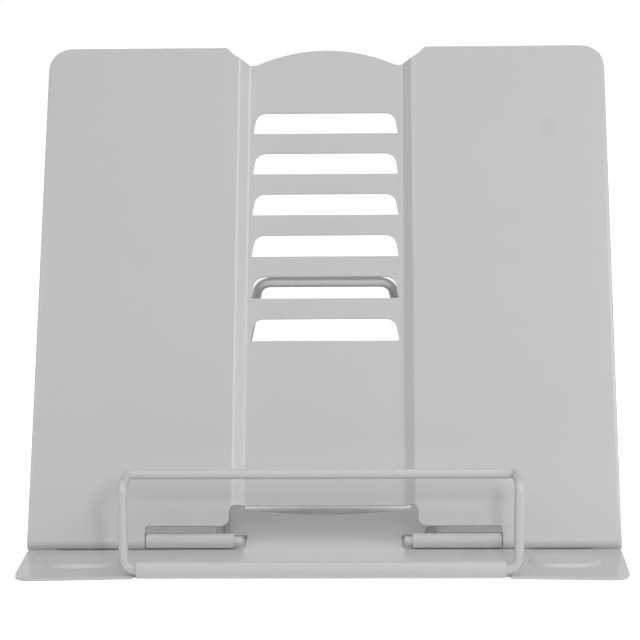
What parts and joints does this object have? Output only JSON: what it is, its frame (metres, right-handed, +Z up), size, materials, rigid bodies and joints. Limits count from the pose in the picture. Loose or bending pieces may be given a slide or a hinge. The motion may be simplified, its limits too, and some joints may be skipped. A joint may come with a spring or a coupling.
{
  "type": "folding book stand",
  "caption": "Folding sheet metal book stand: a leaning back plate with a stepped row of slots, a ledge base, a wire page bail and a wire prop.",
  "frame": {"origin": "centre of the whole stand's footprint at rest, on the surface it stands on", "axes": "+Z up, +Y to the rear, away from the reader, +X to the reader's right"},
  "size_m": [0.21, 0.1356, 0.1716],
  "materials": {
    "base_paint": "satin silver grey",
    "plate_paint": "satin silver grey",
    "pin_paint": "satin silver grey",
    "bail_paint": "glossy silver grey",
    "prop_paint": "glossy silver grey",
    "foot_rubber": "matte black"
  },
  "bodies": {
    "base": {"base_plate": "base_paint", "hinge_pin_left": "pin_paint", "hinge_pin_right": "pin_paint", "foot_pad_left": "foot_rubber", "foot_pad_right": "foot_rubber"},
    "plate": {"back_plate": "plate_paint"},
    "bail": {"page_bail": "bail_paint"},
    "prop": {"prop_wire": "prop_paint"}
  },
  "joints": [
    {"name": "plate_tilt", "type": "hinge", "parent": "base", "child": "plate", "pos_m": [0, -0.0303, 0.0035], "axis": [1, 0, 0], "range_deg": [-57.5, 5.6]},
    {"name": "bail_swing", "type": "hinge", "parent": "base", "child": "bail", "pos_m": [0, -0.0647, 0.0035], "axis": [1, 0, 0], "range_deg": [-43, 90]},
    {"name": "prop_fold", "type": "hinge", "parent": "base", "child": "prop", "pos_m": [0, 0.06481, 0.003], "axis": [1, 0, 0], "range_deg": [-115, 11.2]}
  ],
  "couplings": [
    {"joint": "prop_fold", "follows": "plate_tilt", "ratio": 2}
  ]
}
